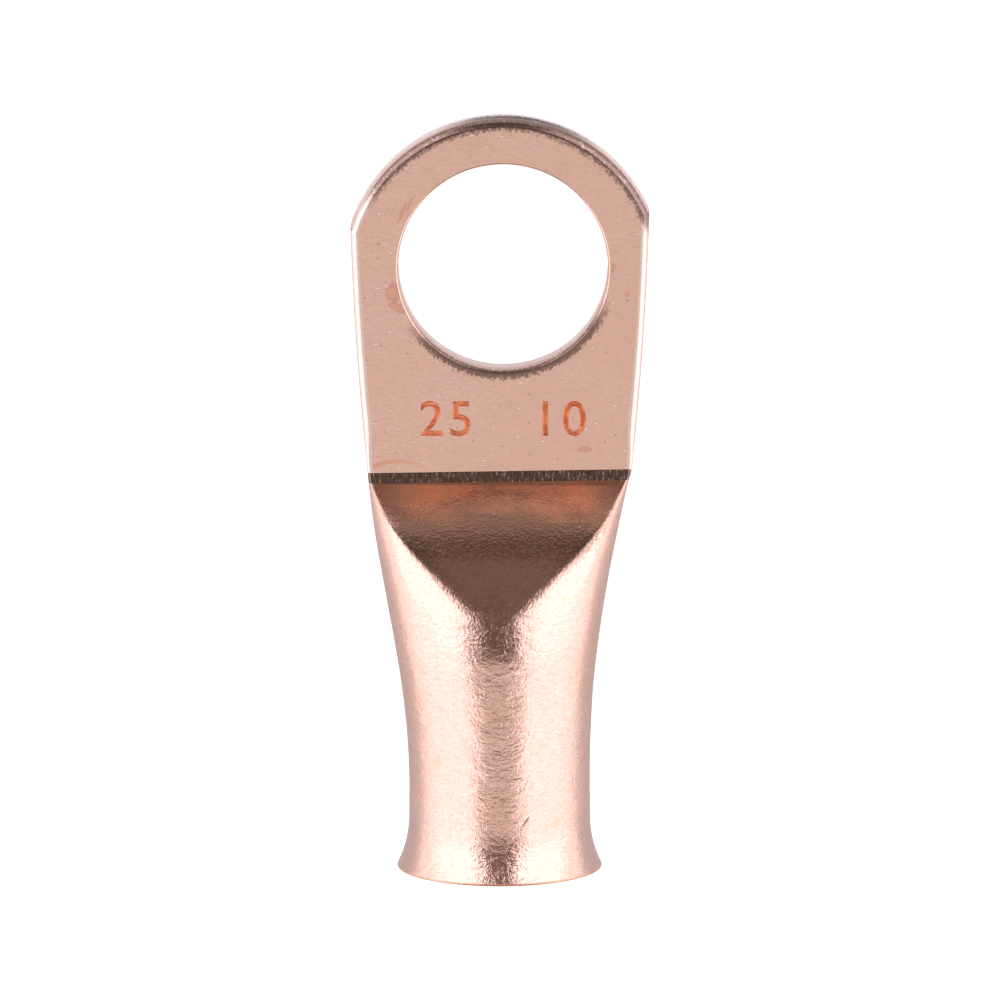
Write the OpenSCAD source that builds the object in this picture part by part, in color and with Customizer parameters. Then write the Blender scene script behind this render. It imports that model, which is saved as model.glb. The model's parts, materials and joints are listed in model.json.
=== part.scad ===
// Copper cable lug with a bell mouth and one stud hole.
// A length of round copper tube: one end is pressed shut into a flat palm,
// trimmed round and pierced for a stud, and the other end takes the cable.
// Origin: centre of the stud hole, on the back of the palm. +Z is the front
// of the palm, +Y points to its round end and the barrel runs towards -Y.

/* [Palm] */
// Diameter of the stud hole
hole_d = 10.3; // [4:0.1:12]
// Thickness of the palm
palm_t = 1.75; // [1.2:0.05:2.4]
// Radius of the trimmed round end
tip_r = 7.87; // [7.2:0.01:9]
// How far the centre of the round end lies from the stud hole, towards the barrel
tip_setback = 0.47; // [0:0.01:1]
// Distance from the stud hole to the widest part of the palm
widest_y = 2.5; // [0:0.5:4]
// Width of the palm at its widest
palm_tip_w = 14.7; // [14:0.1:16]
// Width of the palm at the crease
palm_root_w = 13.05; // [12:0.05:14]
// How far each long side bows out between those two widths
palm_bow = 0.13; // [0.03:0.01:0.3]
// Radius of the folded long edges
fold_r = 0.4; // [0.2:0.05:0.55]
// Sideways distance of the stud hole from the centreline
punch_offset = 0.17; // [0:0.01:0.4]
// Rounding that the punch leaves on the front edge of the hole
hole_roll_r = 0.2; // [0.1:0.05:0.4]
// Rounding that the trimming leaves on the front edge of the round end
tip_roll_r = 0.6; // [0.1:0.05:0.6]
// Distance from the stud hole to the crease
crease_y = 10.2; // [8:0.1:14]

/* [Neck] */
// Length of the short sheared face at the crease
crease_run = 0.45; // [0.2:0.05:0.8]
// Height of the short sheared face at the crease
crease_rise = 0.5; // [0.2:0.05:0.8]
// Distance from the crease to where the barrel has its full height
neck_len = 9; // [8:0.5:11]
// How sharply the shoulder rises from the crease
shoulder_power = 2.2; // [2:0.1:2.6]
// Length over which the flat of the neck's front narrows to nothing
front_flat_len = 7.6; // [5:0.1:9]
// Distance from the crease to where the sides are parallel
flank_len = 15.6; // [15.2:0.1:18]
// How quickly the sides draw in
flank_power = 2.35; // [2:0.05:2.8]
// How full the sides stay near the palm
flank_swell = 1.05; // [0.6:0.05:1.4]
// How far the neck bows sideways
neck_bow = 0.2; // [0:0.05:0.5]
// Length of the bend between the back of the palm and the back of the barrel
back_bend_len = 6; // [3:0.5:9]

/* [Barrel] */
// Outside diameter of the barrel
barrel_d = 8.95; // [8.4:0.05:9.6]
// Wall thickness of the tube
wall = 0.87; // [0.6:0.01:1.1]
// Length of the round barrel, from the end of the neck to the mouth
barrel_len = 3.8; // [3.2:0.05:12]
// Outside diameter of the bell mouth
mouth_d = 10.25; // [9.8:0.05:11.5]
// Length of the bell mouth
flare_len = 2.6; // [1.5:0.1:3]
// Depth of the round cable bore, from the mouth
bore_depth = 9; // [7:0.1:10]

/* [Smoothness] */
// Points in each quarter of the neck's sections
quarter_steps = 13; // [8:1:16]
// Sections along the neck
neck_steps = 34; // [20:1:40]
// Sections along the space inside the neck
cavity_steps = 20; // [12:1:24]

/* [Hidden] */
$fn = 120;
copper = [0.80, 0.56, 0.47];

// Overlap that makes a cut run clear of a face
cut = 1;
// How far a faceted form stays inside the round form it runs into
skin = 0.01;
// Length that a faceted form runs on inside the round form
lap = 0.3;
// Length over which the round bore turns into the space inside the neck
open_len = 3;
// How much flatter than the outside the space inside is
inner_flat = 0.9;
// Brings the largest value of v * (1 - v)^2 to one
bow_gain = 27 / 4;
// Height at which the space inside starts, and the step in which it is looked for
wedge_h = wall / 6;
wedge_step = 0.02;

barrel_r = barrel_d / 2;
mouth_r = mouth_d / 2;
bore_r = barrel_r - wall;
hole_r = hole_d / 2;

// The back of the palm and the rim of the bell mouth lie in one plane
mouth_s = flank_len + barrel_len;
lean = (mouth_r - barrel_r) / (mouth_s - back_bend_len / 2) * 180 / PI;
bend_r = back_bend_len / (lean * PI / 180);

// Radius of the arc that the bell mouth's outside follows
flare_e = mouth_r - barrel_r;
flare_r = (flare_e * flare_e + flare_len * flare_len) / (2 * flare_e);

// Arc of the palm's long side, through its widths at the crease and at the end
side_a = [palm_root_w / 2, -crease_y];
side_b = [palm_tip_w / 2, widest_y];
side_chord = norm(side_b - side_a);
side_r = (side_chord * side_chord / 4 + palm_bow * palm_bow) / (2 * palm_bow);
side_dir = (side_b - side_a) / side_chord;
side_out = [side_dir[1], -side_dir[0]];
side_centre = (side_a + side_b) / 2 - side_out * (side_r - palm_bow);
// Direction of the arc's middle, the angle it is drawn over and the plate's width
side_turn = atan2(side_out[1], side_out[0]);
side_sweep = 2 * (side_chord + tip_r) / side_r * 180 / PI;
side_band = palm_tip_w + 3;
side_fn = 900;

function clamp01(t) = min(1, max(0, t));
function mix(a, b, t) = a + (b - a) * t;
function ease(t) = clamp01(t) * clamp01(t) * (3 - 2 * clamp01(t));

// The back line: s is the length along it from the crease
function back_turn(s) = lean * min(s, back_bend_len) / back_bend_len;
function back_past(s) = max(0, s - back_bend_len);
function back_y(s) = bend_r * sin(back_turn(s)) + back_past(s) * cos(lean);
function back_z(s) = bend_r * (1 - cos(back_turn(s))) + back_past(s) * sin(lean);

// Outside of the neck at s: height over the back line and half of the width
function shoulder_u(s) = clamp01((s - crease_run) / (neck_len - crease_run));
function shoulder_h(u) =
    mix(palm_t + crease_rise, barrel_d, 1 - pow(1 - u, shoulder_power));
function neck_h(s) =
    s < crease_run ? palm_t + crease_rise * s / crease_run : shoulder_h(shoulder_u(s));
function neck_slope(s) =
    (barrel_d - palm_t - crease_rise) * shoulder_power
    * pow(1 - shoulder_u(s), shoulder_power - 1) / (neck_len - crease_run);
function flank_v(s) = clamp01(s / flank_len);
function neck_a(s) =
    mix(barrel_d, palm_root_w,
        pow(1 - flank_v(s), flank_power) * (1 + flank_swell * flank_v(s))) / 2;

// Flat part of the neck's front, back and sides, each as half of its width
function front_flat(s) = (palm_root_w / 2 - fold_r) * (1 - ease(s / front_flat_len));
function back_flat(s) = (palm_root_w / 2 - fold_r) * pow(1 - clamp01(s / flank_len), 2.6);
function side_flat(s) = (palm_t / 2 - fold_r) * (1 - ease(s / 2));

// The neck's sideways bow: full at a third of its length and gone at both ends
function bow_x(s) = -neck_bow * bow_gain * flank_v(s) * pow(1 - flank_v(s), 2);

// One section: [s, half width, bottom, top, front flat, back flat, side flat, sideways]
function outer_section(s) =
    [s, neck_a(s) - skin, skin, neck_h(s) - skin,
     front_flat(s), back_flat(s), side_flat(s), bow_x(s)];

// The space inside: the wall is measured square to the sloping front
bore_end_s = mouth_s - bore_depth;
function opened(s) = ease((bore_end_s - s) / open_len);
function inner_top(s) =
    mix(barrel_r + bore_r - skin,
        neck_h(s) - wall * sqrt(1 + neck_slope(s) * neck_slope(s)), opened(s));
function inner_bottom(s) = mix(barrel_r - bore_r + skin, wall, opened(s));
function inner_a(s) = mix(bore_r - skin, neck_a(s) - wall, opened(s));
function inner_section(s) =
    [s, inner_a(s), inner_bottom(s), inner_top(s),
     front_flat(s) * opened(s) * inner_flat, back_flat(s) * opened(s) * inner_flat,
     0, bow_x(s) * opened(s)];

// Where the space inside starts: the wedge at the crease
function wedge_s(s) =
    inner_top(s) - inner_bottom(s) > wedge_h ? s : wedge_s(s + wedge_step);
cavity_s = wedge_s(crease_run);

// A point of a section at angle t
function section_x(c, t) =
    let (flat = sin(t) >= 0 ? c[4] : c[5])
    sign(cos(t)) * (flat + (c[1] - flat) * abs(cos(t)));
function section_z(c, t) =
    let (half = (c[3] - c[2]) / 2)
    (c[3] + c[2]) / 2 + sign(sin(t)) * (c[6] + (half - c[6]) * abs(sin(t)));
function section_point(c, t) =
    let (turn = back_turn(c[0]), v = section_z(c, t))
    [section_x(c, t) + c[7],
     -crease_y - back_y(c[0]) + v * sin(turn),
     back_z(c[0]) + v * cos(turn)];

// A closed skin through a list of sections
module loft(sections) {
    n = 4 * quarter_steps;
    rings = len(sections);
    points = [
        for (c = sections)
        for (i = [0 : n - 1])
        section_point(c, 360 * i / n)
    ];
    sides = [
        for (k = [0 : rings - 2])
        for (i = [0 : n - 1])
        let (a = k * n + i, b = k * n + (i + 1) % n)
        each [[a, a + n, b], [b, a + n, b + n]]
    ];
    first = [for (i = [0 : n - 1]) i];
    last = [for (i = [n - 1 : -1 : 0]) (rings - 1) * n + i];
    polyhedron(points = points, faces = concat(sides, [first], [last]));
}

// Half of the palm's plate: its outer rim follows the side's arc
module side_plate() {
    translate([side_centre[0], side_centre[1], 0])
        rotate([0, 0, side_turn - side_sweep / 2])
            rotate_extrude(angle = side_sweep, $fn = side_fn)
                translate([side_r, 0])
                    side_profile();
}

// Section of the plate, with its folded edge at x = 0
module side_profile() {
    translate([-side_band, 0])
        square([side_band - fold_r, palm_t]);
    translate([-side_band, fold_r])
        square([side_band, palm_t - 2 * fold_r]);
    translate([-fold_r, fold_r])
        circle(r = fold_r, $fn = 48);
    translate([-fold_r, palm_t - fold_r])
        circle(r = fold_r, $fn = 48);
}

// The palm's outline before the end is trimmed
module palm_blank() {
    translate([-punch_offset, 0, 0])
        intersection() {
            side_plate();
            mirror([1, 0, 0])
                side_plate();
        }
}

// The round trimmed end
module palm_trim() {
    translate([0, -tip_setback, -cut])
        cylinder(r = tip_r, h = palm_t + 2 * cut);
    translate([-palm_tip_w, -crease_y, -cut])
        cube([2 * palm_tip_w, crease_y - tip_setback, palm_t + 2 * cut]);
}

// Corner left over by a rounding of radius r, as a ring's section; side is 1 or -1
module corner_profile(side, r) {
    steps = 6;
    arc = [
        for (i = [0 : steps])
        [side * r * (1 - cos(90 * i / steps)), -r * (1 - sin(90 * i / steps))]
    ];
    polygon(concat([[-side * cut, -r], [-side * cut, cut], [side * r, cut]],
        [for (i = [steps : -1 : 0]) arc[i]]));
}

module hole_roll() {
    translate([0, 0, palm_t])
        rotate_extrude()
            translate([hole_r, 0])
                corner_profile(1, hole_roll_r);
}

module tip_roll() {
    translate([0, -tip_setback, palm_t])
        rotate([0, 0, 5])
            rotate_extrude(angle = 170)
                translate([tip_r, 0])
                    corner_profile(-1, tip_roll_r);
}

module palm() {
    difference() {
        intersection() {
            palm_blank();
            palm_trim();
        }
        tip_roll();
    }
}

module neck() {
    translate([-punch_offset, 0, 0])
        loft(concat(
            [for (k = [0 : neck_steps]) outer_section(flank_len * pow(k / neck_steps, 1.5))],
            [outer_section(flank_len + lap)]));
}

// Puts a form drawn about +Z, from the mouth inwards, on the barrel's axis
module on_barrel() {
    translate([
        -punch_offset,
        -crease_y - back_y(mouth_s) + barrel_r * sin(lean),
        back_z(mouth_s) + barrel_r * cos(lean)
    ])
        rotate([-90 - lean, 0, 0])
            children();
}

module barrel() {
    on_barrel()
        rotate_extrude()
            difference() {
                union() {
                    square([barrel_r, barrel_len]);
                    square([mouth_r, flare_len]);
                }
                translate([barrel_r + flare_r, flare_len])
                    circle(r = flare_r, $fn = 240);
            }
}

// The cable bore, opening into the bell mouth with the same wall
module bore() {
    on_barrel() {
        translate([0, 0, -cut])
            cylinder(r = bore_r, h = bore_depth + cut);
        rotate_extrude()
            difference() {
                translate([0, -cut])
                    square([mouth_r, flare_len + cut]);
                translate([barrel_r + flare_r, flare_len])
                    circle(r = flare_r + wall, $fn = 240);
                translate([0, -2 * cut])
                    square([bore_r - wall, flare_len + 3 * cut]);
            }
    }
}

module neck_space() {
    translate([-punch_offset, 0, 0])
        loft(concat(
            [for (k = [0 : cavity_steps])
                inner_section(mix(cavity_s, bore_end_s, pow(k / cavity_steps, 1.3)))],
            [inner_section(bore_end_s + lap)]));
}

module lug() {
    color(copper)
        difference() {
            union() {
                palm();
                neck();
                barrel();
            }
            translate([0, 0, -cut])
                cylinder(r = hole_r, h = palm_t + 2 * cut);
            hole_roll();
            bore();
            neck_space();
        }
}

lug();
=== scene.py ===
import json
import math

import bmesh
import bpy
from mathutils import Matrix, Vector, noise


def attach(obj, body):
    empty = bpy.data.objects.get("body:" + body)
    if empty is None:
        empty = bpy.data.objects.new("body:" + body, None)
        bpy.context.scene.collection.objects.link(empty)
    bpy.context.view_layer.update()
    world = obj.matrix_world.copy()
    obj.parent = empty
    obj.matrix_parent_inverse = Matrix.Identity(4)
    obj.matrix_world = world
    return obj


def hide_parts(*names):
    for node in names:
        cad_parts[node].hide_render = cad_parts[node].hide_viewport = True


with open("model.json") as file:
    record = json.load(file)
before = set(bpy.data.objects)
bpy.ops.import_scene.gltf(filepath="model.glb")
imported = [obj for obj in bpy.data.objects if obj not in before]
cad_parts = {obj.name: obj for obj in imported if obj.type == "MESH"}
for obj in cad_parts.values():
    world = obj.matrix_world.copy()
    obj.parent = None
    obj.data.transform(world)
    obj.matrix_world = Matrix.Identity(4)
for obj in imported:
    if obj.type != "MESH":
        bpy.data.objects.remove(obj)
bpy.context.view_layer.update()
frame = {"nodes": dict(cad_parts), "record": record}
mm = 0.001
print("frame loaded:", ", ".join(frame["nodes"]))

mounts = {mount["name"]: mount for mount in frame["record"]["mounts"]}
holeR = mounts["stud_hole"]["dims"]["r_mm"]
boreR = mounts["conductor_socket"]["dims"]["r_mm"]

# all sizes in millimetres, as the lug is drawn
palm = {
    "thick": 1.75,
    "tipR": 7.869,
    "tipSetback": 0.47,
    "widestY": 2.5,
    "tipWidth": 14.7,
    "rootWidth": 13.05,
    "bow": 0.13,
    "foldR": 0.34,
    "foldRAtCrease": 0.16,
    "pinchLength": 2.4,      # the folded edge narrows over this length before the crease
    "punchOffset": 0.17,
    "rollRun": 0.38,         # punch rounding on the round end: across and down
    "rollDrop": 0.55,
    "holeRollRun": 0.12,
    "holeRollDrop": 0.3,
    "backEdgeR": 0.05,
    "creaseY": 10.2,
    "tongue": 0.25,          # hidden length of palm inside the neck
    "spokes": 420,
    "holeRings": 8,          # rings of points on each stretch of the profile
    "edgeRings": 9,
    "backRings": 8,
    "holeBackRings": 4,
    "frontShares": (0.03, 0.08, 0.3, 0.5, 0.7, 0.92, 0.97),
    "backShares": (0.05, 0.5, 0.95),
}

neck = {
    "creaseRun": 0.45,
    "creaseRise": 0.5,
    "length": 9.0,
    "shoulderPower": 2.2,
    "flankLength": 15.6,
    "flankPower": 2.35,
    "flankSwell": 1.05,
    "frontFlatLength": 7.6,
    "backFlatPower": 2.6,
    "sideFlatLength": 2,
    "foldGrowth": 1.2,       # the folds reach their full radius over this length
    "sideInset": 0.01,       # keeps the palm's faces outside the neck's where they meet
    "topInset": 0.005,
    "bow": 0.2,              # sideways, fullest at a third of its length
    "backBend": 6.0,
    "creaseSkew": 0.0157,    # the crease is not quite square to the lug
    "dent": 0.02,            # depth and pitch of the shallow dents left by drawing
    "dentPitch": 1.3,
    "dentStart": 1.5,
    "dentGrowth": 4,
    "sides": 256,
    "creaseRings": 5,
    "rings": 90,
    "crowding": 1.25,        # above 1, rings stand closer together near the crease
}

barrel = {
    "diameter": 8.95,
    "length": 3.8,
    "mouthD": 10.25,
    "flare": 2.6,
    "boreDepth": 9.0,
    "lipR": 0.14,
    "lipSquash": 0.9,
    "lipSwell": 0.02,
    "straightRings": 5,
    "flareRings": 24,
    "lipRings": 6,
    "bellRings": 20,
    "boreRings": 6,
}

# the bore runs on into the neck and flattens with it
hollow = {
    "endGap": 0.3,           # from the sheared face to the end of the space
    "opening": 3,            # length over which it leaves the round bore's shape
    "flatShare": 0.9,
    "leastHeight": 0.05,
    "rings": 40,
}

barrelR = barrel["diameter"] / 2
mouthR = barrel["mouthD"] / 2
wall = barrelR - boreR
mouthS = neck["flankLength"] + barrel["length"]
lean = (mouthR - barrelR) / (mouthS - neck["backBend"] / 2)
bendR = neck["backBend"] / lean
flareE = mouthR - barrelR
flareR = (flareE ** 2 + barrel["flare"] ** 2) / (2 * flareE)


def mix(a, b, t):
    return a + (b - a) * t


def clamp(t):
    return min(1.0, max(0.0, t))


def ease(t):
    t = clamp(t)
    return t * t * (3 - 2 * t)


# a point at s along the lug's back from the crease, x across and v above the back
def atBack(s, x, v):
    turn = lean * min(s, neck["backBend"]) / neck["backBend"]
    past = max(0.0, s - neck["backBend"])
    y = bendR * math.sin(turn) + past * math.cos(lean)
    z = bendR * (1 - math.cos(turn)) + past * math.sin(lean)
    skewed = neck["creaseSkew"] * x * (1 - clamp(s / neck["length"])) ** 2
    return Vector((
        x - palm["punchOffset"],
        skewed - palm["creaseY"] - y + v * math.sin(turn),
        z + v * math.cos(turn),
    )) * mm


def bowAt(s):
    v = clamp(s / neck["flankLength"])
    # v (1 - v)^2 is 4/27 at its fullest
    return -neck["bow"] * 27 / 4 * v * (1 - v) ** 2


def shoulderU(s):
    return clamp((s - neck["creaseRun"]) / (neck["length"] - neck["creaseRun"]))


def neckHeight(s):
    base = palm["thick"] + neck["creaseRise"]
    if s < neck["creaseRun"]:
        return palm["thick"] + neck["creaseRise"] * s / neck["creaseRun"]
    return mix(base, barrel["diameter"], 1 - (1 - shoulderU(s)) ** neck["shoulderPower"])


def neckSlope(s):
    rise = barrel["diameter"] - palm["thick"] - neck["creaseRise"]
    power = neck["shoulderPower"]
    return rise * power * (1 - shoulderU(s)) ** (power - 1) / (neck["length"] - neck["creaseRun"])


def neckHalf(s):
    v = clamp(s / neck["flankLength"])
    return mix(barrel["diameter"], palm["rootWidth"],
               (1 - v) ** neck["flankPower"] * (1 + neck["flankSwell"] * v)) / 2


def foldAt(s):
    return mix(palm["foldRAtCrease"], palm["foldR"], ease(s / neck["foldGrowth"]))


def flats(s):
    front = (palm["rootWidth"] / 2 - foldAt(s)) * (1 - ease(s / neck["frontFlatLength"]))
    left = 1 - clamp(s / neck["flankLength"])
    back = (palm["rootWidth"] / 2 - palm["foldR"]) * left ** neck["backFlatPower"]
    side = max(0.0, palm["thick"] / 2 - foldAt(s)) * (1 - ease(s / neck["sideFlatLength"]))
    return front, back, side


# points round a rounded section from the middle of its front, spread evenly by both length and turn
def section(half, low, high, front, back, side, count):
    fine = 60
    mid, tall = (high + low) / 2, (high - low) / 2
    right = [(0.0, high)]
    for i in range(fine + 1):
        t = math.radians(90 * i / fine)
        right.append((front + (half - front) * math.sin(t), mid + side + (tall - side) * math.cos(t)))
    for i in range(fine + 1):
        t = math.radians(90 * i / fine)
        right.append((back + (half - back) * math.cos(t), mid - side - (tall - side) * math.sin(t)))
    outline = right + [(0.0, low)] + [(-x, v) for x, v in reversed(right[1:])]
    total = len(outline)
    steps, turns = [], []
    for i in range(total):
        a, b, c = outline[i - 1], outline[i], outline[(i + 1) % total]
        steps.append(math.dist(b, c))
        bent = 0.0
        if math.dist(a, b) > 1e-9 and math.dist(b, c) > 1e-9:
            bent = math.atan2(c[1] - b[1], c[0] - b[0]) - math.atan2(b[1] - a[1], b[0] - a[0])
        turns.append(abs((bent + math.pi) % (2 * math.pi) - math.pi))
    lengthSum, turnSum = sum(steps), sum(turns)
    weights = [steps[i] / lengthSum + 0.5 * (turns[i] + turns[(i + 1) % total]) / turnSum
               for i in range(total)]
    whole = sum(weights)
    points = []
    i, done = 0, 0.0
    for k in range(count):
        goal = whole * k / count
        while i < total - 1 and done + weights[i] <= goal:
            done += weights[i]
            i += 1
        share = (goal - done) / weights[i] if weights[i] > 0 else 0.0
        a, b = outline[i], outline[(i + 1) % total]
        points.append((mix(a[0], b[0], share), mix(a[1], b[1], share)))
    return points


# even steps that end at 1, and even turns that end at a right angle
def shares(count):
    return [i / count for i in range(1, count + 1)]


def quarter(count):
    return [math.radians(90 * i / count) for i in range(1, count + 1)]


def deselectAll():
    if bpy.context.object and bpy.context.object.mode != "OBJECT":
        bpy.ops.object.mode_set(mode="OBJECT")
    bpy.ops.object.select_all(action="DESELECT")


# a circle is added, then pulled ring by ring through the given loops of points
def pullRings(name, rings, slots, closed):
    deselectAll()
    count = len(rings[0])
    bpy.ops.mesh.primitive_circle_add(vertices=count, radius=holeR * mm, fill_type="NOTHING")
    shell = bpy.context.object
    shell.name = name
    bpy.ops.object.mode_set(mode="EDIT")
    mesh = bmesh.from_edit_mesh(shell.data)
    spoke = mesh.verts.layers.int.new("spoke")
    for i, vert in enumerate(mesh.verts):
        vert[spoke] = i
        vert.co = rings[0][i]
    bmesh.update_edit_mesh(shell.data)
    bpy.ops.mesh.select_all(action="SELECT")
    for k, ring in enumerate(rings[1:]):
        bpy.ops.mesh.extrude_region()
        mesh = bmesh.from_edit_mesh(shell.data)
        spoke = mesh.verts.layers.int["spoke"]
        mesh.verts.ensure_lookup_table()
        mesh.faces.ensure_lookup_table()
        for vert in mesh.verts[-count:]:
            vert.co = ring[vert[spoke]]
        for face in mesh.faces[-count:]:
            face.material_index = slots[k]
    bmesh.update_edit_mesh(shell.data)
    if not closed:
        for first in (0, len(mesh.verts) - count):
            bpy.ops.mesh.select_all(action="DESELECT")
            mesh = bmesh.from_edit_mesh(shell.data)
            mesh.verts.ensure_lookup_table()
            for vert in mesh.verts[first:first + count]:
                vert.select = True
            mesh.select_flush(True)
            bpy.ops.mesh.edge_face_add()
    bpy.ops.mesh.select_all(action="SELECT")
    bpy.ops.mesh.remove_doubles(threshold=1e-7)
    bpy.ops.mesh.normals_make_consistent(inside=False)
    bpy.ops.object.mode_set(mode="OBJECT")
    return shell


# outside of the tube from the crease to the mouth, round the lip, and back down the bore
def tubeRings():
    rings, slots = [], []
    sides = neck["sides"]

    def add(points, s, slot, bow=0.0):
        rings.append([atBack(s, x + bow, v) for x, v in points])
        slots.append(slot)

    # shallow dents, inwards only
    def dented(points, s, middle):
        share = ease((s - neck["dentStart"]) / neck["dentGrowth"])
        out = []
        for x, v in points:
            spot = Vector((x, s, v)) / neck["dentPitch"]
            depth = neck["dent"] * share * (0.5 + 0.5 * noise.noise(spot)) / barrelR
            out.append((x * (1 - depth), v + (middle - v) * depth))
        return out

    def circle(r, s, slot):
        turns = [2 * math.pi * k / sides for k in range(sides)]
        points = [(r * math.sin(turn), barrelR + r * math.cos(turn)) for turn in turns]
        add(dented(points, s, barrelR) if slot == slotOf["neck"] else points, s, slot)

    # radius of the bell at t from the mouth; inside it, the arc is larger by the wall
    def bellRadius(t, thickness):
        return barrelR + flareR - math.sqrt((flareR + thickness) ** 2 - (barrel["flare"] - t) ** 2)

    crease, length = neck["creaseRun"], neck["flankLength"]
    count = neck["creaseRings"]
    stations = [crease * i / count for i in range(count + 1)]
    count = neck["rings"]
    stations += [crease + (length - crease) * (i / count) ** neck["crowding"] for i in range(1, count + 1)]
    for s in stations:
        high = neckHeight(s)
        points = section(neckHalf(s) - neck["sideInset"], neck["sideInset"], high - neck["topInset"],
                         *flats(s), sides)
        slot = slotOf["crease"] if s <= crease + 1e-6 else slotOf["neck"]
        add(dented(points, s, high / 2), s, slot, bowAt(s))
    straight = mouthS - barrel["flare"]
    for share in shares(barrel["straightRings"]):
        circle(barrelR, mix(length, straight, share), slotOf["neck"])
    lip = barrel["lipR"]
    for share in shares(barrel["flareRings"]):
        t = barrel["flare"] * (1 - share) + lip * share
        circle(bellRadius(t, 0), mouthS - t, slotOf["neck"])
    outer, inner = bellRadius(lip, 0), bellRadius(lip, wall)
    for turn in quarter(barrel["lipRings"]):
        squashed = outer - lip * (1 - math.cos(turn)) * barrel["lipSquash"]
        r = squashed + barrel["lipSwell"] * math.sin(turn)
        circle(r, mouthS - lip * (1 - math.sin(turn)), slotOf["rim"])
    for turn in [0.0] + quarter(barrel["lipRings"]):
        circle(inner + lip * (1 - math.sin(turn)), mouthS - lip * (1 - math.cos(turn)), slotOf["rim"])
    for share in shares(barrel["bellRings"]):
        t = mix(lip, barrel["flare"], share)
        circle(bellRadius(t, wall), mouthS - t, slotOf["bore"])
    end = mouthS - barrel["boreDepth"]
    for share in shares(barrel["boreRings"]):
        circle(boreR, mix(straight, end, share), slotOf["bore"])
    start = crease + hollow["endGap"]
    for share in shares(hollow["rings"]):
        s = mix(end, start, share)
        opened = ease((end - s) / hollow["opening"])
        high = mix(barrelR + boreR, neckHeight(s) - wall * math.sqrt(1 + neckSlope(s) ** 2), opened)
        low = mix(barrelR - boreR, wall, opened)
        front, back, side = flats(s)
        flatShare = hollow["flatShare"]
        points = section(mix(boreR, neckHalf(s) - wall, opened), low, max(high, low + hollow["leastHeight"]),
                         front * opened * flatShare, back * opened * flatShare, 0.0, sides)
        add(points, s, slotOf["bore"], bowAt(s) * opened)
    return rings, slots[1:]


sideA = Vector((palm["rootWidth"] / 2, -palm["creaseY"]))
sideB = Vector((palm["tipWidth"] / 2, palm["widestY"]))
sideChord = (sideB - sideA).length
sideR = (sideChord ** 2 / 4 + palm["bow"] ** 2) / (2 * palm["bow"])
sideDir = (sideB - sideA) / sideChord
sideCentre = (sideA + sideB) / 2 - Vector((sideDir.y, -sideDir.x)) * (sideR - palm["bow"])


def palmFold(y):
    past = (y + palm["creaseY"] - palm["pinchLength"]) / -palm["pinchLength"]
    return mix(palm["foldR"], palm["foldRAtCrease"], ease(past))


def hitCircle(direction, centre, radius):
    along = direction.dot(centre)
    return along + math.sqrt(radius ** 2 - centre.length_squared + along ** 2)


# how far the palm's edge lies from the hole's centre in one direction, and its height.
# level turns round the edge, from 0 on the front to 180 on the back; share, if there
# is one, runs down the upright wall between the two roundings
def palmEdge(angle, level, share):
    direction = Vector((math.cos(angle), math.sin(angle)))
    turn = math.radians(level)

    def shape(run, drop, under):
        if level <= 90:
            inset, z = run * (1 - math.sin(turn)), palm["thick"] - drop * (1 - math.cos(turn))
        else:
            inset, z = under * (1 - math.sin(turn)), under * (1 + math.cos(turn))
        if share is not None:
            inset, z = 0.0, mix(palm["thick"] - drop, under, share)
        return inset, z

    flip = 1 if direction.x > 0 else -1
    centre = Vector((flip * sideCentre.x - palm["punchOffset"], sideCentre.y))
    y = 0.0
    for _ in range(4):       # the fold's radius depends on y, so it is closed in on
        fold = palmFold(y)
        inset, z = shape(fold, fold, palm["foldR"])
        far = hitCircle(direction, centre, sideR - inset) if abs(direction.x) > 1e-6 else 1e3
        y = far * direction.y
    found = (far, z)
    if direction.y > 0:
        inset, z = shape(palm["rollRun"], palm["rollDrop"], palm["backEdgeR"])
        tip = hitCircle(direction, Vector((0, -palm["tipSetback"])), palm["tipR"] - inset)
        if tip < found[0]:
            found = (tip, z)
    if direction.y < 0:
        root = (palm["creaseY"] + palm["tongue"]) / -direction.y
        if root < found[0]:
            inset, z = shape(palm["foldRAtCrease"], palm["foldRAtCrease"], palm["foldR"])
            found = (root, z)
    return found


# directions of the spokes: even turns, with one on each corner of the palm
def palmAngles():
    count = palm["spokes"]
    angles = [2 * math.pi * k / count for k in range(count)]
    corners = []
    for k in range(3600):
        a, b = math.radians(k / 10), math.radians((k + 1) / 10)
        bends = [palmEdge(x, 90, None)[0] for x in (a - 1e-4, a, b, b + 1e-4)]
        if abs((bends[3] - bends[2]) - (bends[1] - bends[0])) > 1.5e-5:
            corners.append((a + b) / 2)
    for corner in corners:
        nearest = min(range(count), key=lambda k: abs(angles[k] - corner))
        angles[nearest] = corner
    return sorted(angles)


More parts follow.
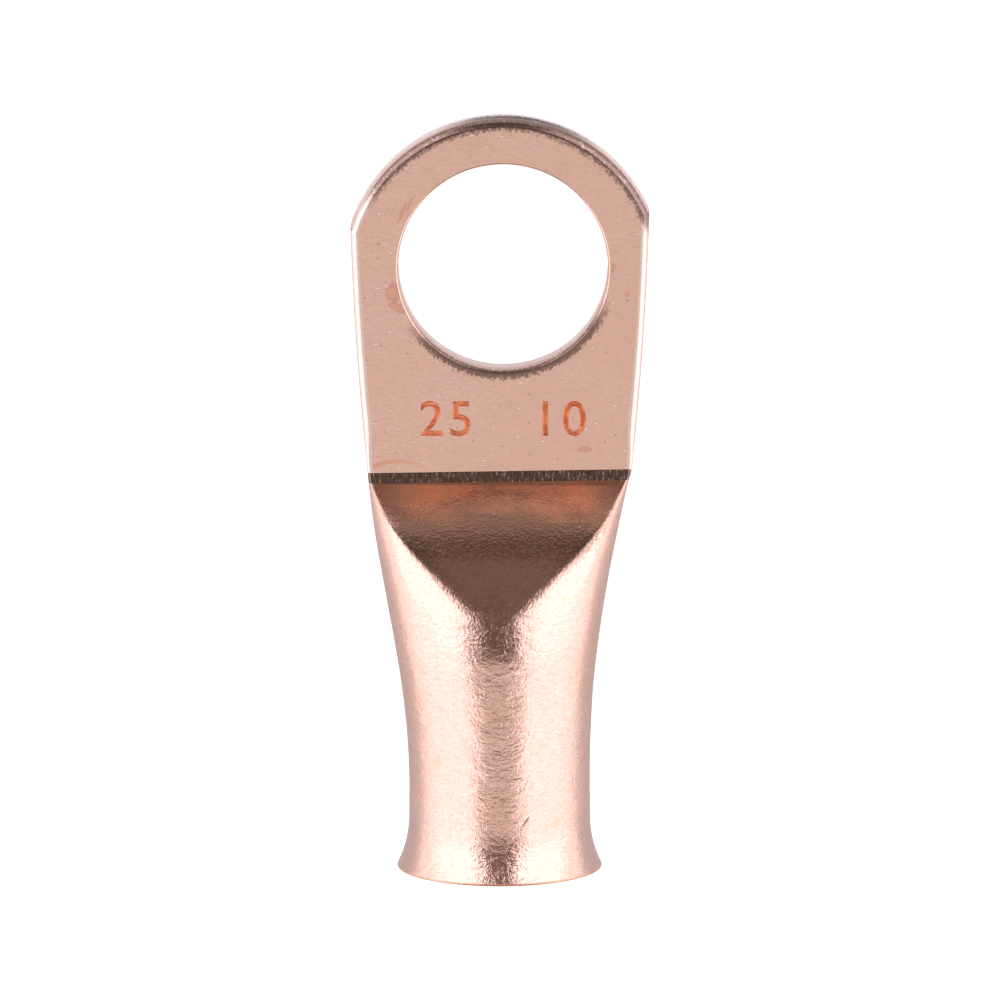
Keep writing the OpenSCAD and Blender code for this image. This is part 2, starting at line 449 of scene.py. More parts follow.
def palmRings():
    angles = palmAngles()
    rings, slots = [], []

    def add(profile, slot):
        rings.append([Vector((r * math.cos(a), r * math.sin(a), z)) * mm
                      for a, (r, z) in zip(angles, profile)])
        slots.append(slot)

    # a ring that is the same all round the hole
    def addRound(r, z, slot):
        add([(r, z)] * len(angles), slot)

    top = palm["thick"]
    run, drop, under = palm["holeRollRun"], palm["holeRollDrop"], palm["backEdgeR"]
    for share in [0.0] + shares(palm["holeRings"]):
        addRound(holeR, mix(under, top - drop, share), slotOf["sheared"])
    for turn in quarter(palm["holeRings"]):
        addRound(holeR + run * (1 - math.cos(turn)), top - drop * (1 - math.sin(turn)), slotOf["rolled"])
    edge = [palmEdge(a, 0, None)[0] for a in angles]
    for share in palm["frontShares"]:
        add([(mix(holeR + run, e, share), top) for e in edge], slotOf["palm"])
    for i in range(palm["edgeRings"] + 1):
        add([palmEdge(a, 90 * i / palm["edgeRings"], None) for a in angles], slotOf["rolled"])
    for share in shares(palm["backRings"]):
        add([palmEdge(a, 90, share) for a in angles], slotOf["sheared"])
    for share in shares(palm["backRings"]):
        add([palmEdge(a, 90 + 90 * share, None) for a in angles], slotOf["palm"])
    edge = [palmEdge(a, 180, None)[0] for a in angles]
    for share in palm["backShares"]:
        add([(mix(e, holeR + under, share), 0.0) for e in edge], slotOf["palm"])
    for turn in [0.0] + quarter(palm["holeBackRings"]):
        addRound(holeR + under * (1 - math.sin(turn)), under * (1 - math.cos(turn)), slotOf["rolled"])
    return rings, slots[1:]


slotOf = {"palm": 0, "rolled": 1, "sheared": 2, "crease": 3, "neck": 4, "rim": 5, "bore": 6, "stamp": 7}

# colours of clean, worn and oxidised copper, and of painted shade, painted highlights and painted
# reflections
tint = {
    "copper": (0.94, 0.615, 0.505),
    "copperWarm": (0.915, 0.575, 0.455),
    "copperRuddy": (0.93, 0.57, 0.445),
    "satin": (0.86, 0.545, 0.44),
    "satinTube": (0.86, 0.54, 0.43),
    "fleck": (0.74, 0.46, 0.37),
    # painted sheen on the folded long edges
    "folded": (0.93, 0.67, 0.58),
    # painted highlights and glints
    "bright": (1.0, 0.9, 0.84),
    "brightStreak": (1.0, 0.86, 0.78),
    "brightGlint": (1.0, 0.85, 0.76),
    "brightDot": (1.0, 0.88, 0.8),
    "darkDot": (0.42, 0.24, 0.18),
    "scratch": (0.5, 0.3, 0.23),
    "gouge": (0.3, 0.15, 0.1),
    # painted shade on the punch roundings and walls
    "burnished": (0.23, 0.14, 0.115),
    "burnishedWall": (0.11, 0.07, 0.06),
    "oxide": (0.86, 0.45, 0.30),
    "oxideEdge": (0.74, 0.36, 0.31),
    "tubeSpot": (0.88, 0.47, 0.30),
    # painted shade and painted glints on the crease face
    "ribDark": (0.14, 0.09, 0.075),
    "ribPale": (0.33, 0.22, 0.17),
    # painted shade, a painted orange reflection and a painted shadow line on the slope below the crease
    "film": (0.41, 0.235, 0.16),
    "lens": (0.88, 0.38, 0.21),
    "edgeFilm": (0.38, 0.24, 0.18),
    "tail": (0.50, 0.30, 0.23),
    "foldLine": (0.36, 0.19, 0.13),
    # painted shade on the barrel's sides
    "mouthFilm": (0.66, 0.45, 0.37),
    "rimDull": (0.74, 0.36, 0.23),
    "rimBright": (0.92, 0.52, 0.37),
    "boreDull": (0.70, 0.41, 0.31),
    "stampOrange": (0.90, 0.31, 0.13),
    "stampRed": (0.66, 0.18, 0.08),
    "stampPale": (0.98, 0.6, 0.42),
}


# node helpers
def feed(tree, socket, value):
    if isinstance(value, bpy.types.NodeSocket):
        tree.links.new(value, socket)
    else:
        socket.default_value = value


def calc(tree, operation, *values):
    node = tree.nodes.new("ShaderNodeMath")
    node.operation = operation
    for i, value in enumerate(values):
        feed(tree, node.inputs[i], value)
    return node.outputs[0]


# the first value times each of the others in turn
def times(tree, first, *others):
    for other in others:
        first = calc(tree, "MULTIPLY", first, other)
    return first


def highest(tree, values):
    top = values[0]
    for value in values[1:]:
        top = calc(tree, "MAXIMUM", top, value)
    return top


# 0 at low and 1 at high, smoothly
def step(tree, value, low, high):
    node = tree.nodes.new("ShaderNodeMapRange")
    node.interpolation_type = "SMOOTHSTEP"
    feed(tree, node.inputs["Value"], value)
    feed(tree, node.inputs["From Min"], low)
    feed(tree, node.inputs["From Max"], high)
    return node.outputs["Result"]


def blend(tree, share, first, second):
    node = tree.nodes.new("ShaderNodeMix")
    node.data_type = "RGBA"
    feed(tree, node.inputs[0], share)
    feed(tree, node.inputs[6], first if isinstance(first, bpy.types.NodeSocket) else (*first, 1))
    feed(tree, node.inputs[7], second if isinstance(second, bpy.types.NodeSocket) else (*second, 1))
    return node.outputs[2]


# colours laid over one another, each through its mask and at its strength
def paint(tree, colour, *coats):
    for mask, strength, over in coats:
        colour = blend(tree, mask if strength == 1 else times(tree, mask, strength), colour, over)
    return colour


# object coordinates in millimetres, turned about Z and then stretched
def point(tree, stretch=(1, 1, 1), turn=0):
    place = tree.nodes.new("ShaderNodeTexCoord").outputs["Object"]
    if turn:
        turned = tree.nodes.new("ShaderNodeMapping")
        turned.inputs["Rotation"].default_value = (0, 0, math.radians(turn))
        tree.links.new(place, turned.inputs["Vector"])
        place = turned.outputs["Vector"]
    scaled = tree.nodes.new("ShaderNodeMapping")
    scaled.inputs["Scale"].default_value = [1 / mm * s for s in stretch]
    tree.links.new(place, scaled.inputs["Vector"])
    return scaled.outputs["Vector"]


def cloud(tree, place, detail=3.0, rough=0.5, swirl=0.0):
    node = tree.nodes.new("ShaderNodeTexNoise")
    node.inputs["Scale"].default_value = 1
    node.inputs["Detail"].default_value = detail
    node.inputs["Roughness"].default_value = rough
    node.inputs["Distortion"].default_value = swirl
    tree.links.new(place, node.inputs["Vector"])
    return node.outputs["Fac"]


# a noise value moved to lie about zero
def centred(tree, value):
    return calc(tree, "SUBTRACT", value, 0.5)


# square of the distance from a centre, in half sizes
def squareFrom(tree, value, centre, half):
    share = calc(tree, "DIVIDE", calc(tree, "SUBTRACT", value, centre), half)
    return calc(tree, "POWER", calc(tree, "ABSOLUTE", share), 2)


def axes(tree, place):
    node = tree.nodes.new("ShaderNodeSeparateXYZ")
    tree.links.new(place, node.inputs[0])
    return node.outputs


def newGroup(name, **outs):
    group = bpy.data.node_groups.new(name, "ShaderNodeTree")
    for label, kind in outs.items():
        group.interface.new_socket(name=label, in_out="OUTPUT", socket_type="NodeSocket" + kind)
    return group, group.nodes.new("NodeGroupOutput")


def useGroup(tree, group):
    node = tree.nodes.new("ShaderNodeGroup")
    node.node_tree = group
    return node.outputs


# slow drift of the copper's colour and shine
tone, end = newGroup("copper_tone", Color="Color", Shine="Float")
slow = cloud(tone, point(tone, (0.22, 0.3, 0.25)))
quick = cloud(tone, point(tone, (1.3, 1.9, 1.4)), 5, 0.6)
colour = blend(tone, step(tone, slow, 0.36, 0.64), tint["copper"], tint["copperWarm"])
colour = blend(tone, step(tone, quick, 0.48, 0.72), colour, tint["copperRuddy"])
tone.links.new(colour, end.inputs["Color"])
tone.links.new(quick, end.inputs["Shine"])

# satin grain of the pressed metal
grain, end = newGroup("satin_grain", Height="Float", Tone="Float", Pebble="Float")
fine = cloud(grain, point(grain, (8, 6.5, 6)), 2, 0.6)
strokes = cloud(grain, point(grain, (2.6, 13, 3), 2), 2, 0.5)
grain.links.new(calc(grain, "MULTIPLY_ADD", strokes, 0.5, fine), end.inputs["Height"])
grain.links.new(fine, end.inputs["Pebble"])
grain.links.new(calc(grain, "MULTIPLY_ADD", strokes, 0.6, times(grain, fine, 0.4)), end.inputs["Tone"])

# short wavy ripples that run round the tube
ripple, end = newGroup("tube_ripple", Height="Float", Fleck="Float")
wavy = cloud(ripple, point(ripple, (2.4, 4.2, 2.4)), 3, 0.6, 0.8)
broad = cloud(ripple, point(ripple, (0.9, 1.4, 0.9)), 1)
ripple.links.new(calc(ripple, "MULTIPLY_ADD", broad, 1.4, wavy), end.inputs["Height"])
nicks = cloud(ripple, point(ripple, (3.2, 7, 3.2)), 2, 0.6, 1.2)
ripple.links.new(step(ripple, nicks, 0.47, 0.38), end.inputs["Fleck"])

# small dots: the bright ones are painted glints, the dark ones are specks
dots, end = newGroup("dots", Light="Float", Dark="Float")
dotSize = 0.06
dotsDropped = 0.78
for label, density in (("Light", 1.0), ("Dark", 0.9)):
    cells = dots.nodes.new("ShaderNodeTexVoronoi")
    cells.voronoi_dimensions = "2D"
    cells.inputs["Scale"].default_value = density
    dots.links.new(point(dots, turn=20 + 30 * density), cells.inputs["Vector"])
    near = step(dots, cells.outputs["Distance"], dotSize, dotSize * 0.5)
    chosen = calc(dots, "GREATER_THAN", axes(dots, cells.outputs["Color"])[0], dotsDropped)
    dots.links.new(times(dots, near, chosen), end.inputs[label])

# short fine scratches
scratch, end = newGroup("scratches", Mask="Float")
lines = []
for turn, length in ((4, 0.8), (-28, 1.3), (63, 1.1)):
    line = cloud(scratch, point(scratch, (length, 14, 2), turn), 1)
    near = step(scratch, calc(scratch, "ABSOLUTE", centred(scratch, line)), 0.012, 0.004)
    patch = step(scratch, cloud(scratch, point(scratch, (1.2, 1.2, 1.2), turn + 50), 1), 0.56, 0.63)
    lines.append(times(scratch, near, patch))
scratch.links.new(highest(scratch, lines), end.inputs["Mask"])

# fine streaks that run down a cut or sheared face
streaks, end = newGroup("shear_streaks", Height="Float", Tone="Float")
lines = cloud(streaks, point(streaks, (8, 8, 0.9)), 2, 0.6)
specks = cloud(streaks, point(streaks, (6, 6, 5)), 2)
broken = times(streaks, step(streaks, lines, 0.5, 0.66), step(streaks, specks, 0.42, 0.6))
streaks.links.new(lines, end.inputs["Height"])
streaks.links.new(broken, end.inputs["Tone"])


# soft-edged oval marks: centre, half sizes and turn in degrees
def ovals(name, marks, softness):
    group, end = newGroup(name, Mask="Float")
    wobble = centred(group, cloud(group, point(group, (4, 4, 4)), 4, 0.6))
    masks = []
    for x, y, a, b, turn in marks:
        place = group.nodes.new("ShaderNodeMapping")
        place.vector_type = "TEXTURE"
        place.inputs["Location"].default_value = (x, y, 0)
        place.inputs["Rotation"].default_value = (0, 0, math.radians(turn))
        place.inputs["Scale"].default_value = (a, b, 1e4)
        group.links.new(point(group), place.inputs["Vector"])
        reach = group.nodes.new("ShaderNodeVectorMath")
        reach.operation = "LENGTH"
        group.links.new(place.outputs["Vector"], reach.inputs[0])
        uneven = calc(group, "MULTIPLY_ADD", wobble, 2.2, reach.outputs["Value"])
        masks.append(step(group, uneven, 1 + softness, 1 - softness))
    group.links.new(highest(group, masks), end.inputs["Mask"])
    return group


# painted shade: a dark band on the punch roundings and walls that look towards the round end, standing in
# for the dark they reflect. Along y it starts at sideStart and is whole at sideFull, further on for the wall
shadeBandCuts = [
    {"setback": palm["tipSetback"], "radius": palm["tipR"], "side": -1, "width": 0.5, "lowest": 0.5,
     "sideStart": 1.9, "sideFull": 3.4, "wallLag": 4.2},
    {"setback": 0, "radius": holeR, "side": 1, "width": 0.4, "lowest": 1.5,
     "sideStart": -2.0, "sideFull": -3.6, "wallLag": 0},
]
burnish, end = newGroup("burnish", Mask="Float")
x, y, z = axes(burnish, point(burnish))
rough = cloud(burnish, point(burnish, (9, 6, 2)), 3, 0.65)
frayed = times(burnish, centred(burnish, rough), 0.8)
bands = []
for cut in shadeBandCuts:
    shifted = calc(burnish, "ADD", y, cut["setback"])
    squares = calc(burnish, "ADD", times(burnish, x, x), times(burnish, shifted, shifted))
    reach = calc(burnish, "SUBTRACT", calc(burnish, "SQRT", squares), cut["radius"])
    inside = times(burnish, reach, cut["side"])
    uneven = calc(burnish, "ADD", inside, frayed)
    band = step(burnish, uneven, cut["width"] * 1.25, cut["width"] * 0.75)
    outer = step(burnish, inside, 0.09, 0.01)
    slanted = calc(burnish, "MULTIPLY_ADD", x, 0.12 * cut["side"] * -1, y)
    along = calc(burnish, "MULTIPLY_ADD", outer, -cut["wallLag"], slanted)
    turned = step(burnish, calc(burnish, "ADD", along, frayed), cut["sideStart"], cut["sideFull"])
    upper = step(burnish, calc(burnish, "ADD", z, frayed), cut["lowest"] - 0.05, cut["lowest"] + 0.1)
    bands.append(times(burnish, band, turned, upper))
burnish.links.new(highest(burnish, bands), end.inputs["Mask"])

looks = {}


def newLook(name):
    looks[name] = bpy.data.materials.new("copper_" + name)
    looks[name].use_nodes = True
    tree = looks[name].node_tree
    shader = tree.nodes["Principled BSDF"]
    shader.inputs["Metallic"].default_value = 1
    return tree, shader


# colour, roughness that follows a value from low up over a span, and layers of bump
def finishLook(tree, shader, colour, roughness, *layers):
    value, span, low = roughness
    tree.links.new(colour, shader.inputs["Base Color"])
    tree.links.new(calc(tree, "MULTIPLY_ADD", value, span, low), shader.inputs["Roughness"])
    normal = None
    for height, depth in layers:
        node = tree.nodes.new("ShaderNodeBump")
        node.inputs["Distance"].default_value = depth * mm
        tree.links.new(height, node.inputs["Height"])
        if normal:
            tree.links.new(normal, node.inputs["Normal"])
        normal = node.outputs["Normal"]
    tree.links.new(normal, shader.inputs["Normal"])


# flat of the palm, front and back
palmMarks = {
    "oxide": [(-5.43, -1.23, 0.3, 0.42, 0), (-5.15, -1.98, 0.42, 0.17, -25), (4.05, -9.1, 0.26, 0.13, 0),
              (5.35, 0.05, 0.13, 0.2, 0), (6.1, -1.3, 0.1, 0.08, 0), (-6.1, 1.23, 0.08, 0.09, 0),
              (6.8, 1.4, 0.07, 0.06, 0), (-4.95, 2.8, 0.07, 0.45, -22), (-4.6, 3.2, 0.06, 0.3, -22)],
    "swoosh": (-5.2, -10.55, 1.6, 0.85),    # part of an oval ring: centre and half sizes
    "swooshEnds": (-3.4, -5.2),
}
tree, shader = newLook("palm")
oxide = ovals("palm_oxide", palmMarks["oxide"], 0.35)
copper, satin, dot = useGroup(tree, tone), useGroup(tree, grain), useGroup(tree, dots)
x, y, z = axes(tree, point(tree))
centreX, centreY, halfX, halfY = palmMarks["swoosh"]
reach = calc(tree, "ADD", squareFrom(tree, x, centreX, halfX), squareFrom(tree, y, centreY, halfY))
ring = calc(tree, "ABSOLUTE", calc(tree, "SUBTRACT", reach, 1))
swoosh = times(tree, step(tree, ring, 0.34, 0.1), step(tree, x, *palmMarks["swooshEnds"]))
spread = useGroup(tree, oxide)["Mask"]
edging = times(tree, spread, calc(tree, "SUBTRACT", 1, spread), 3.2)
colour = blend(tree, step(tree, satin["Tone"], 0.4, 0.62), tint["satin"], copper["Color"])
colour = paint(tree, colour,
               (highest(tree, (spread, swoosh)), 0.85, tint["oxide"]),
               (edging, 1, tint["oxideEdge"]),
               # painted shade where the roundings look towards the round end
               (useGroup(tree, burnish)["Mask"], 0.92, tint["burnished"]),
               # painted glints
               (dot["Light"], 1, tint["bright"]),
               (dot["Dark"], 0.45, tint["darkDot"]),
               (useGroup(tree, scratch)["Mask"], 0.35, tint["scratch"]))
finishLook(tree, shader, colour, (copper["Shine"], 0.12, 0.2),
           (satin["Height"], 0.0022), (dot["Light"], 0.005), (dot["Dark"], -0.004))

# folded long edges and punch roundings
tree, shader = newLook("rolled")
copper, satin, streak = useGroup(tree, tone), useGroup(tree, grain), useGroup(tree, streaks)
x, y, z = axes(tree, point(tree))
# the folded long edges get a paler colour, a painted sheen
folded = step(tree, calc(tree, "ABSOLUTE", calc(tree, "ADD", x, palm["punchOffset"])), 5.6, 6.3)
colour = paint(tree, copper["Color"],
               (folded, 1, tint["folded"]),
               # painted shade where the roundings look towards the round end
               (useGroup(tree, burnish)["Mask"], 0.9, tint["burnished"]),
               # painted glints along the streaks
               (streak["Tone"], 0.35, tint["brightStreak"]))
finishLook(tree, shader, colour, (copper["Shine"], 0.15, 0.18),
           (satin["Height"], 0.004), (streak["Height"], 0.008))

# sheared walls of the hole and the round end: painted shade above, where they look towards the round end,
# and below a torn band painted pale as a painted reflection
tree, shader = newLook("sheared")
copper, satin, streak = useGroup(tree, tone), useGroup(tree, grain), useGroup(tree, streaks)
x, y, z = axes(tree, point(tree))
low = step(tree, calc(tree, "MULTIPLY_ADD", streak["Height"], 0.3, z), 1.15, 1.02)
folded = times(tree, step(tree, calc(tree, "ABSOLUTE", x), 5.5, 5.8), step(tree, y, 2.7, 2.4))
unfolded = calc(tree, "SUBTRACT", 1, folded)
tornAndPaintedLight = times(tree, low, unfolded)
wallShadeMask = times(tree, useGroup(tree, burnish)["Mask"], unfolded)
colour = paint(tree, copper["Color"],
               (tornAndPaintedLight, 1, tint["bright"]),
               (wallShadeMask, 1, tint["burnishedWall"]),
               (streak["Tone"], 0.35, copper["Color"]))
# painted shade: where the wall is painted dark it is also made less of a mirror
tree.links.new(calc(tree, "MULTIPLY_ADD", wallShadeMask, -0.85, 1), shader.inputs["Metallic"])
finishLook(tree, shader, colour, (tornAndPaintedLight, 0.2, calc(tree, "MULTIPLY_ADD", wallShadeMask, 0.3, 0.24)),
           (streak["Height"], 0.012), (satin["Height"], 0.004))

# short sheared face at the crease, painted dark as painted shade, with painted glints along its ribs
tree, shader = newLook("crease")
copper, streak = useGroup(tree, tone), useGroup(tree, streaks)
ribs = cloud(tree, point(tree, (10, 2, 2)), 3, 0.7)
patch = cloud(tree, point(tree, (5, 6, 6)), 2)
glint = times(tree, step(tree, ribs, 0.54, 0.66), step(tree, patch, 0.45, 0.62))
colour = blend(tree, step(tree, ribs, 0.35, 0.65), tint["ribDark"], tint["ribPale"])
colour = blend(tree, glint, colour, tint["brightGlint"])
finishLook(tree, shader, colour, (copper["Shine"], 0.2, 0.22), (ribs, 0.02), (streak["Height"], 0.008))

# neck and barrel
tubeMarks = {
    "slopeHalf": 5.95,       # half width of the painted shade on the slope at the crease, and how fast it narrows
    "slopeNarrowing": 0.155,
    "slopeLeast": 0.95,
    "filmFull": 2.6,         # brown painted shade in the hollow below the crease
    "filmEnd": 3.9,
    "lensEnd": 0.6,          # painted orange reflection at the top of the painted shade, longer towards the sides
    "lensSideways": 0.2,
    "spots": [(-1.0, -25.9, 0.22, 0.14, 0), (-4.0, -25.2, 0.3, 0.18, 0), (2.6, -26.4, 0.25, 0.15, 20),
              (-3.2, -23.4, 0.2, 0.25, 0), (3.9, -19.6, 0.3, 0.2, 0), (1.9, -22.4, 0.2, 0.15, 0)],
    "gouges": [(1.08, -26.2, 0.035, 0.4, -34), (0.15, -18.1, 0.12, 0.03, 10), (0.4, -18.5, 0.14, 0.03, -15),
               (-0.3, -22.6, 0.2, 0.025, -12), (0.7, -24.0, 0.2, 0.025, 12)],
}
tree, shader = newLook("neck")
copper, satin, dot = useGroup(tree, tone), useGroup(tree, grain), useGroup(tree, dots)
ripples = useGroup(tree, ripple)
spot = useGroup(tree, ovals("tube_spots", tubeMarks["spots"], 0.6))["Mask"]
gouge = useGroup(tree, ovals("tube_gouges", tubeMarks["gouges"], 0.3))["Mask"]
x, y, z = axes(tree, point(tree))
front = step(tree, z, 1.9, 2.3)
past = calc(tree, "SUBTRACT", -palm["creaseY"], y)
sideways = calc(tree, "ABSOLUTE", calc(tree, "ADD", x, palm["punchOffset"]))
fleck = centred(tree, cloud(tree, point(tree, (5.5, 6.5, 5.5)), 3, 0.65))
drift = centred(tree, cloud(tree, point(tree, (0.4, 1, 0.5)), 1))
mottled = calc(tree, "MULTIPLY_ADD", fleck, 2, past)

# the slope's painted shade, and the distance in from its ragged sides
narrowing = calc(tree, "MULTIPLY_ADD", times(tree, past, past),
                 -tubeMarks["slopeNarrowing"], tubeMarks["slopeHalf"])
room = calc(tree, "SUBTRACT", calc(tree, "MAXIMUM", narrowing, tubeMarks["slopeLeast"]), sideways)
ragged = calc(tree, "MULTIPLY_ADD", fleck, 1.5, room)
inside = times(tree, step(tree, ragged, -0.1, 0.4), front)
lensEnd = calc(tree, "MULTIPLY_ADD", sideways, tubeMarks["lensSideways"], tubeMarks["lensEnd"])
lensEnd = calc(tree, "MULTIPLY_ADD", drift, 2.6, lensEnd)
lens = times(tree, step(tree, calc(tree, "SUBTRACT", mottled, lensEnd), 1.1, -0.6), inside)
film = times(tree, step(tree, mottled, tubeMarks["filmEnd"], tubeMarks["filmFull"]), inside)
tail = times(tree, step(tree, mottled, 4.2, 6.4), step(tree, mottled, 8.2, 7.2), inside)
edgeFilm = times(tree, step(tree, ragged, 1.5, 0.4), step(tree, past, 5, 3), inside)
foldLine = times(tree, step(tree, past, 0.6, 0.52), inside)
# painted shade on the barrel's sides near the mouth
mouthFilm = times(tree, step(tree, sideways, 3.7, 4.3), step(tree, past, 15.4, 17))
colour = blend(tree, step(tree, satin["Tone"], 0.4, 0.6), tint["satinTube"], copper["Color"])
colour = paint(tree, colour,
               (ripples["Fleck"], 0.6, tint["fleck"]),
               # painted shade on the slope, a painted orange reflection, and a painted shadow line at the
               # crease
               (film, 0.9, tint["film"]),
               (lens, 0.9, tint["lens"]),
               (edgeFilm, 0.6, tint["edgeFilm"]),
               (tail, 0.6, tint["tail"]),
               (foldLine, 0.8, tint["foldLine"]),
               (mouthFilm, 0.6, tint["mouthFilm"]),
               (spot, 0.55, tint["tubeSpot"]),
               # painted glints
               (dot["Light"], 0.35, tint["brightDot"]),
               (gouge, 1, tint["gouge"]))
# the painted orange reflection under the crease is less of a mirror
tree.links.new(calc(tree, "MULTIPLY_ADD", lens, -0.25, 1), shader.inputs["Metallic"])
# ripples are faint near the crease
rippling = calc(tree, "MULTIPLY_ADD", step(tree, past, 4, 8), 0.85, 0.15)
finishLook(tree, shader, colour, (copper["Shine"], 0.12, 0.12),
           (times(tree, ripples["Height"], rippling), 0.028), (satin["Pebble"], 0.015), (gouge, -0.03))

# end face of the bell mouth
tree, shader = newLook("rim")
copper, satin = useGroup(tree, tone), useGroup(tree, grain)
colour = blend(tree, step(tree, satin["Tone"], 0.4, 0.62), tint["rimDull"], tint["rimBright"])
finishLook(tree, shader, colour, (copper["Shine"], 0.2, 0.3), (satin["Height"], 0.008))

# inside of the tube, with the lines it was drawn with
tree, shader = newLook("bore")
copper = useGroup(tree, tone)
drawn = cloud(tree, point(tree, (5, 0.25, 5)), 3, 0.6)
colour = blend(tree, step(tree, drawn, 0.35, 0.65), tint["boreDull"], copper["Color"])
finishLook(tree, shader, colour, (copper["Shine"], 0.2, 0.28), (drawn, 0.015))

# oxidised floor of the stamped numbers
tree, shader = newLook("stamp")
satin = useGroup(tree, grain)
patch = cloud(tree, point(tree, (2.2, 2.2, 2.2)), 3)
colour = blend(tree, step(tree, patch, 0.38, 0.62), tint["stampOrange"], tint["stampRed"])
colour = blend(tree, step(tree, satin["Tone"], 0.55, 0.68), colour, tint["stampPale"])
finishLook(tree, shader, colour, (patch, 0.3, 0.3), (satin["Height"], 0.008))
print("looks made:", len(looks))


def giveLooks(piece):
    for name in slotOf:
        piece.data.materials.append(looks[name])


tube = pullRings("tube", *tubeRings(), closed=False)
print("tube pulled:", len(tube.data.vertices), "points")
plate = pullRings("plate", *palmRings(), closed=True)
print("palm pulled:", len(plate.data.vertices), "points")
giveLooks(tube)
giveLooks(plate)


def combine(piece, other, operation):
    joined = piece.modifiers.new("combine", "BOOLEAN")
    joined.operation = operation
    joined.solver = "EXACT"
    joined.object = other
    deselectAll()
    bpy.context.view_layer.objects.active = piece
    bpy.ops.object.modifier_apply(modifier="combine")
    bpy.data.objects.remove(other)


# plain stamped numbers: the cable's section and the stud's size
stamp = {
    "numbers": [("25", -2.8), ("10", 2.8)],
    "y": -8.4,
    "size": 2.5,
    "spacing": 1.15,
    "bevel": 0.075,
    "thinning": 0.8,         # share of the bevel that the strokes lose
    "depth": 0.16,
    "clear": 0.3,            # height that the punch stands above the palm
}
for text, across in stamp["numbers"]:
    deselectAll()
    bpy.ops.object.text_add(location=(0, 0, 0))
    number = bpy.context.object
    number.data.body = text
    number.data.align_x = "CENTER"
    number.data.size = stamp["size"] * mm
    number.data.space_character = stamp["spacing"]
    number.data.resolution_u = 6
    number.data.extrude = ((stamp["depth"] + stamp["clear"]) / 2 - stamp["bevel"]) * mm
    number.data.bevel_depth = stamp["bevel"] * mm
    number.data.bevel_resolution = 1
    number.data.offset = -stamp["bevel"] * mm * stamp["thinning"]
    bpy.ops.object.convert(target="MESH")
    number = bpy.context.object
    bpy.ops.object.mode_set(mode="EDIT")
    bpy.ops.mesh.select_all(action="SELECT")
    bpy.ops.mesh.remove_doubles(threshold=1e-7)
    lift = palm["thick"] + (stamp["clear"] - stamp["depth"]) / 2
    bpy.ops.transform.translate(value=(across * mm, stamp["y"] * mm, lift * mm))
    bpy.ops.object.mode_set(mode="OBJECT")
    giveLooks(number)
    for face in number.data.polygons:
        face.material_index = slotOf["stamp"] if abs(face.normal.z) > 0.9 else slotOf["rolled"]
    combine(plate, number, "DIFFERENCE")
print("numbers stamped")

combine(plate, tube, "UNION")
lug = plate
lug.name = "lug_body"
lug.select_set(True)
bpy.ops.object.shade_smooth_by_angle(angle=math.radians(42))
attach(lug, "root")
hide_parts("lug")
print("lug joined:", len(lug.data.polygons), "faces")

# floor, which ends just past the round end; sizes of the studio are in metres
ground = {
    "size": 1.5,
    "shift": -0.705,
    "grey": 0.76,
    "seenGlow": 0.7,         # lifts it to white for the camera
    "mirroredGlow": 0.6,     # and for reflections, lowered beside the lug as a painted shadow
}
deselectAll()
bpy.ops.mesh.primitive_plane_add(size=ground["size"], location=(0, 0, 0))
floor = bpy.context.object
floor.name = "floor"
bpy.ops.object.mode_set(mode="EDIT")
bpy.ops.transform.translate(value=(0, ground["shift"], 0))
bpy.ops.object.mode_set(mode="OBJECT")
floorLook = bpy.data.materials.new("floor_white")
floorLook.use_nodes = True
tree = floorLook.node_tree
shader = tree.nodes["Principled BSDF"]
shader.inputs["Base Color"].default_value = (ground["grey"], ground["grey"], ground["grey"], 1)
shader.inputs["Roughness"].default_value = 0.9
shader.inputs["Specular IOR Level"].default_value = 0.1
shader.inputs["Emission Color"].default_value = (1, 1, 1, 1)
path = tree.nodes.new("ShaderNodeLightPath")
x, y, z = axes(tree, point(tree))
# painted shadow: the glow seen in reflections fades out beside the lug
beside = calc(tree, "MULTIPLY_ADD", step(tree, y, -10, -20), -10, calc(tree, "ABSOLUTE", x))
away = times(tree, step(tree, beside, 2, 24), ground["mirroredGlow"])
mirrored = times(tree, path.outputs["Is Glossy Ray"], away)
glow = calc(tree, "MULTIPLY_ADD", path.outputs["Is Camera Ray"], ground["seenGlow"], mirrored)
tree.links.new(glow, shader.inputs["Emission Strength"])
floor.data.materials.append(floorLook)

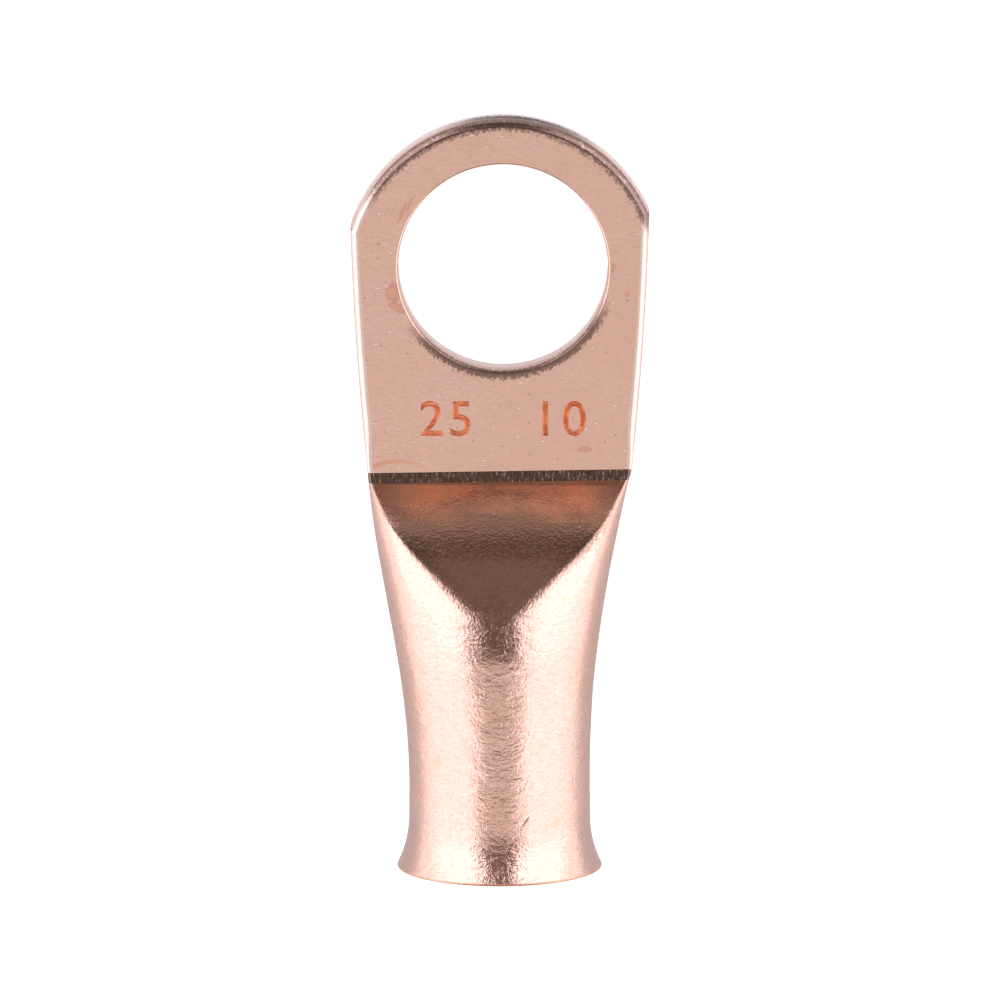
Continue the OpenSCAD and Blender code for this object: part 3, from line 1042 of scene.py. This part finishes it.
# lights
studio = {
    "overhead": {"y": -0.37, "height": 0.9, "size": (0.86, 0.7), "level": 0.61, "tint": (0.98, 1, 1.01)},
    "sides": {"": {"azimuth": 112, "width": 0.96, "level": 1.42},
              "_back": {"azimuth": 54, "width": 1.08, "level": 1.7}},
    "sideDistance": 0.9,
    "sideHeight": 1.7,
    "sideFoot": 0.005,
    "sideTint": (0.96, 1, 1.12),
    "room": (0.17, 0.13, 0.105),
}


def softbox(name, place, aim, size, level, glowTint):
    width, height = size
    light = bpy.data.lights.new(name, "AREA")
    light.shape = "RECTANGLE"
    light.color = glowTint
    light.size = width
    light.size_y = height
    light.energy = level * width * height * math.pi
    box = bpy.data.objects.new(name, light)
    bpy.context.scene.collection.objects.link(box)
    box.location = place
    box.rotation_euler = (Vector(aim) - Vector(place)).to_track_quat("-Z", "Y").to_euler()
    box.visible_camera = False


# a tall light beside the lug; its azimuth is counted from the round end
def sidebox(name, side, azimuth, width, level):
    turn, far, height = math.radians(azimuth), studio["sideDistance"], studio["sideHeight"]
    middle = height / 2 + studio["sideFoot"]
    place = (side * far * math.sin(turn), far * math.cos(turn), middle)
    softbox(name, place, (0, 0, middle), (width, height), level, studio["sideTint"])


above = studio["overhead"]
softbox("overhead", (0, above["y"], above["height"]), (0, above["y"], 0),
        above["size"], above["level"], above["tint"])
for name, side in (("left", -1), ("right", 1)):
    for suffix, box in studio["sides"].items():
        sidebox(name + suffix, side, **box)

world = bpy.data.worlds.new("studio")
bpy.context.scene.world = world
world.use_nodes = True
tree = world.node_tree
path = tree.nodes.new("ShaderNodeLightPath")
colour = blend(tree, path.outputs["Is Camera Ray"], studio["room"], (1, 1, 1))
tree.links.new(colour, tree.nodes["Background"].inputs["Color"])

# camera
view = {
    "lens": 429,
    "tilt": 12.5,
    "distance": 0.59,
    "aim": (-0.15, -12.05, 0),
    "clipStart": 0.01,
}
cameraData = bpy.data.cameras.new("camera")
cameraData.lens = view["lens"]
cameraData.clip_start = view["clipStart"]
camera = bpy.data.objects.new("camera", cameraData)
bpy.context.scene.collection.objects.link(camera)
tilt = math.radians(view["tilt"])
camera.location = Vector(view["aim"]) * mm + Vector((0, math.sin(tilt), math.cos(tilt))) * view["distance"]
camera.rotation_euler = (-tilt, 0, 0)
bpy.context.scene.camera = camera
bpy.context.scene.view_settings.view_transform = "Standard"
